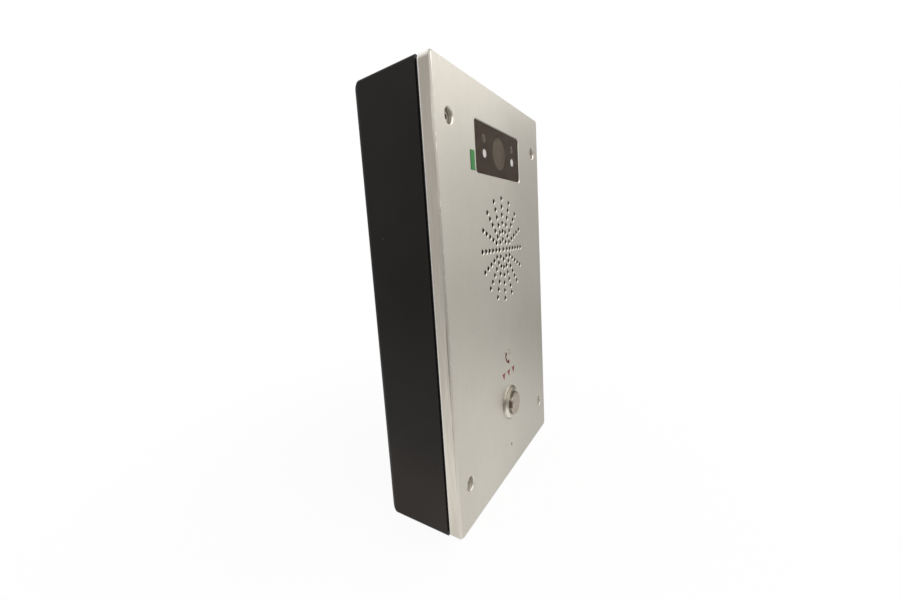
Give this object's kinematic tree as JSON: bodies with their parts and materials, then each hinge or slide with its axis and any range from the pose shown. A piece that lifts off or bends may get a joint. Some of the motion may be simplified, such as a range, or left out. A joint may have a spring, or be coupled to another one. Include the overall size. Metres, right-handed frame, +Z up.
{
  "type": "video door intercom panel",
  "caption": "Wall-mounted door station: flat metal panel on a deep box, with a smoked camera window, a round speaker grille, a push button and a microphone hole.",
  "frame": {"origin": "centre of the box's flat rear face, which lies on the wall", "axes": "+Z up along the panel's height, +Y into the wall, +X to the right as seen from the front"},
  "size_m": [0.122, 0.0413, 0.195],
  "materials": {
    "panel_aluminium": "fine bead-blasted, anodised",
    "box_paint": "satin black paint",
    "black_rubber": "matt",
    "black_foam": "closed-cell foam",
    "screw_steel": "stainless",
    "button_steel": "polished stainless steel",
    "smoked_window": "smoked acrylic, gloss",
    "clear_film": "clear film",
    "green_tab": "green film",
    "lens_coating": "coated lens",
    "lens_metal": "black anodised",
    "black_plastic": "moulded",
    "sensor_cover": "glass-covered chip",
    "circuit_board": "green solder mask on glass fibre",
    "cream_plastic": "moulded nylon",
    "white_light": "clear epoxy over a white emitter",
    "infrared_light": "dark violet epoxy",
    "mesh_cloth": "fine woven mesh",
    "basket_steel": "black enamel on pressed steel",
    "cone_film": "doped film",
    "zinc_steel": "zinc-plated",
    "terminal_brass": "bright",
    "capsule_can": "drawn can",
    "red_insulation": "lead insulation over copper",
    "jack_shell": "nickel-plated shell",
    "green_plastic": "moulded",
    "blue_plastic": "moulded case",
    "chip_resin": "moulded resin",
    "sink_aluminium": "black anodised",
    "capacitor_sleeve": "sleeved can"
  },
  "bodies": {
    "housing": {"front_panel": "panel_aluminium", "back_box": "box_paint", "panel_gasket": "black_rubber", "panel_screws": "screw_steel", "cable_grommet": "black_rubber", "earth_screw": "terminal_brass", "window_adhesive": "black_foam", "camera_window": "smoked_window", "window_film": "clear_film", "film_pull_tab": "green_tab", "lens_baffle": "black_foam", "lens_holder": "black_plastic", "lens_barrel": "lens_metal", "lens_glass": "lens_coating", "image_sensor": "sensor_cover", "camera_board": "circuit_board", "camera_screws": "screw_steel", "camera_connector": "cream_plastic", "white_leds": "white_light", "infrared_leds": "infrared_light", "led_spacers": "black_plastic", "speaker_mesh": "mesh_cloth", "speaker_gasket": "black_foam", "speaker_basket": "basket_steel", "speaker_terminals": "terminal_brass", "speaker_cone": "cone_film", "speaker_magnet": "zinc_steel", "speaker_clamp": "zinc_steel", "speaker_screws": "screw_steel", "speaker_leads": "red_insulation", "microphone_boot": "black_rubber", "microphone_capsule": "capsule_can", "microphone_leads": "red_insulation", "button_bush": "button_steel", "button_seal": "black_rubber", "button_washer": "zinc_steel", "button_nut": "zinc_steel", "button_spring": "screw_steel", "switch_base": "black_plastic", "switch_terminals": "terminal_brass", "button_leads": "red_insulation", "main_board": "circuit_board", "board_standoffs": "terminal_brass", "board_screws": "screw_steel", "network_jack": "jack_shell", "terminal_block": "green_plastic", "lock_relay": "blue_plastic", "processor": "chip_resin", "heat_sink": "sink_aluminium", "capacitors": "capacitor_sleeve", "lead_headers": "cream_plastic"},
    "button": {"button_actuator": "button_steel", "actuator_seal": "black_rubber", "button_plunger": "black_plastic", "contact_bridge": "terminal_brass"}
  },
  "joints": [
    {"name": "call_button_press", "type": "slide", "parent": "housing", "child": "button", "axis": [0, 1, 0], "range_m": [0, 0.0022], "stiffness_N_per_m": 900, "springref_m": -0.0015, "deforming": ["button_spring"]}
  ]
}
